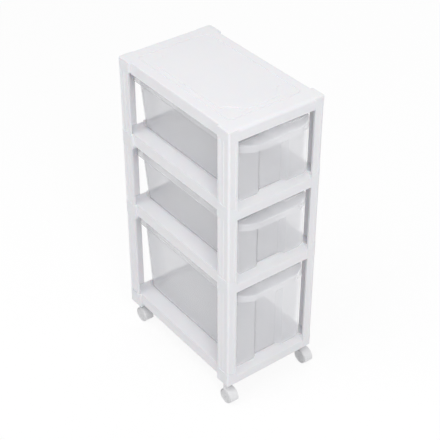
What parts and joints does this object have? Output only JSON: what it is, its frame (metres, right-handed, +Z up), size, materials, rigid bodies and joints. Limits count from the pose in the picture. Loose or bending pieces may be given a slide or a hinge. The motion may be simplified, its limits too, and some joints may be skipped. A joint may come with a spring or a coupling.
{
  "type": "plastic drawer tower",
  "caption": "Narrow open-sided plastic tower with frosted pull-out drawers for craft supplies and small parts, on swivelling twin-wheel casters.",
  "frame": {"origin": "on the floor, at the centre of the outline that the pull lips and the rear casters reach", "axes": "+Z up, the drawers open towards -Y, +X to the right seen from the front"},
  "size_m": [0.24, 0.394, 0.711],
  "materials": {
    "frame_plastic": "satin white",
    "drawer_plastic": "frosted and see-through",
    "caster_plastic": "gloss",
    "wheel_plastic": "satin",
    "sleeve_plastic": "satin",
    "steel": "zinc plated"
  },
  "bodies": {
    "frame": {"top_panel": "frame_plastic", "shelf_upper": "frame_plastic", "shelf_lower": "frame_plastic", "base_frame": "frame_plastic", "post_upper_front_left": "frame_plastic", "post_upper_front_right": "frame_plastic", "post_upper_rear_left": "frame_plastic", "post_upper_rear_right": "frame_plastic", "post_middle_front_left": "frame_plastic", "post_middle_front_right": "frame_plastic", "post_middle_rear_left": "frame_plastic", "post_middle_rear_right": "frame_plastic", "post_lower_front_left": "frame_plastic", "post_lower_front_right": "frame_plastic", "post_lower_rear_left": "frame_plastic", "post_lower_rear_right": "frame_plastic", "caster_sleeve_front_left": "sleeve_plastic", "caster_sleeve_front_right": "sleeve_plastic", "caster_sleeve_rear_left": "sleeve_plastic", "caster_sleeve_rear_right": "sleeve_plastic"},
    "drawer_top": {"drawer_top": "drawer_plastic"},
    "drawer_middle": {"drawer_middle": "drawer_plastic"},
    "drawer_bottom": {"drawer_bottom": "drawer_plastic"},
    "caster_front_left": {"caster_hood_front_left": "caster_plastic", "caster_stem_front_left": "steel", "caster_axle_front_left": "steel"},
    "caster_wheel_left_front_left": {"caster_wheel_left_front_left": "wheel_plastic"},
    "caster_wheel_right_front_left": {"caster_wheel_right_front_left": "wheel_plastic"},
    "caster_front_right": {"caster_hood_front_right": "caster_plastic", "caster_stem_front_right": "steel", "caster_axle_front_right": "steel"},
    "caster_wheel_left_front_right": {"caster_wheel_left_front_right": "wheel_plastic"},
    "caster_wheel_right_front_right": {"caster_wheel_right_front_right": "wheel_plastic"},
    "caster_rear_left": {"caster_hood_rear_left": "caster_plastic", "caster_stem_rear_left": "steel", "caster_axle_rear_left": "steel"},
    "caster_wheel_left_rear_left": {"caster_wheel_left_rear_left": "wheel_plastic"},
    "caster_wheel_right_rear_left": {"caster_wheel_right_rear_left": "wheel_plastic"},
    "caster_rear_right": {"caster_hood_rear_right": "caster_plastic", "caster_stem_rear_right": "steel", "caster_axle_rear_right": "steel"},
    "caster_wheel_left_rear_right": {"caster_wheel_left_rear_right": "wheel_plastic"},
    "caster_wheel_right_rear_right": {"caster_wheel_right_rear_right": "wheel_plastic"}
  },
  "joints": [
    {"name": "drawer_top_slide", "type": "slide", "parent": "frame", "child": "drawer_top", "axis": [0, -1, 0], "range_m": [0, 0.25]},
    {"name": "drawer_middle_slide", "type": "slide", "parent": "frame", "child": "drawer_middle", "axis": [0, -1, 0], "range_m": [0, 0.25]},
    {"name": "drawer_bottom_slide", "type": "slide", "parent": "frame", "child": "drawer_bottom", "axis": [0, -1, 0], "range_m": [0, 0.25]},
    {"name": "caster_swivel_front_left", "type": "hinge", "parent": "frame", "child": "caster_front_left", "pos_m": [-0.108, -0.166, 0.05], "axis": [0, 0, 1], "continuous": true},
    {"name": "wheel_spin_left_front_left", "type": "hinge", "parent": "caster_front_left", "child": "caster_wheel_left_front_left", "pos_m": [-0.108, -0.177, 0.017], "axis": [1, 0, 0], "continuous": true},
    {"name": "wheel_spin_right_front_left", "type": "hinge", "parent": "caster_front_left", "child": "caster_wheel_right_front_left", "pos_m": [-0.108, -0.177, 0.017], "axis": [1, 0, 0], "continuous": true},
    {"name": "caster_swivel_front_right", "type": "hinge", "parent": "frame", "child": "caster_front_right", "pos_m": [0.108, -0.166, 0.05], "axis": [0, 0, 1], "continuous": true},
    {"name": "wheel_spin_left_front_right", "type": "hinge", "parent": "caster_front_right", "child": "caster_wheel_left_front_right", "pos_m": [0.108, -0.177, 0.017], "axis": [1, 0, 0], "continuous": true},
    {"name": "wheel_spin_right_front_right", "type": "hinge", "parent": "caster_front_right", "child": "caster_wheel_right_front_right", "pos_m": [0.108, -0.177, 0.017], "axis": [1, 0, 0], "continuous": true},
    {"name": "caster_swivel_rear_left", "type": "hinge", "parent": "frame", "child": "caster_rear_left", "pos_m": [-0.1015, 0.17725, 0.05], "axis": [0, 0, 1], "continuous": true},
    {"name": "wheel_spin_left_rear_left", "type": "hinge", "parent": "caster_rear_left", "child": "caster_wheel_left_rear_left", "pos_m": [-0.1015, 0.16625, 0.017], "axis": [1, 0, 0], "continuous": true},
    {"name": "wheel_spin_right_rear_left", "type": "hinge", "parent": "caster_rear_left", "child": "caster_wheel_right_rear_left", "pos_m": [-0.1015, 0.16625, 0.017], "axis": [1, 0, 0], "continuous": true},
    {"name": "caster_swivel_rear_right", "type": "hinge", "parent": "frame", "child": "caster_rear_right", "pos_m": [0.1015, 0.17725, 0.05], "axis": [0, 0, 1], "continuous": true},
    {"name": "wheel_spin_left_rear_right", "type": "hinge", "parent": "caster_rear_right", "child": "caster_wheel_left_rear_right", "pos_m": [0.1015, 0.16625, 0.017], "axis": [1, 0, 0], "continuous": true},
    {"name": "wheel_spin_right_rear_right", "type": "hinge", "parent": "caster_rear_right", "child": "caster_wheel_right_rear_right", "pos_m": [0.1015, 0.16625, 0.017], "axis": [1, 0, 0], "continuous": true}
  ]
}
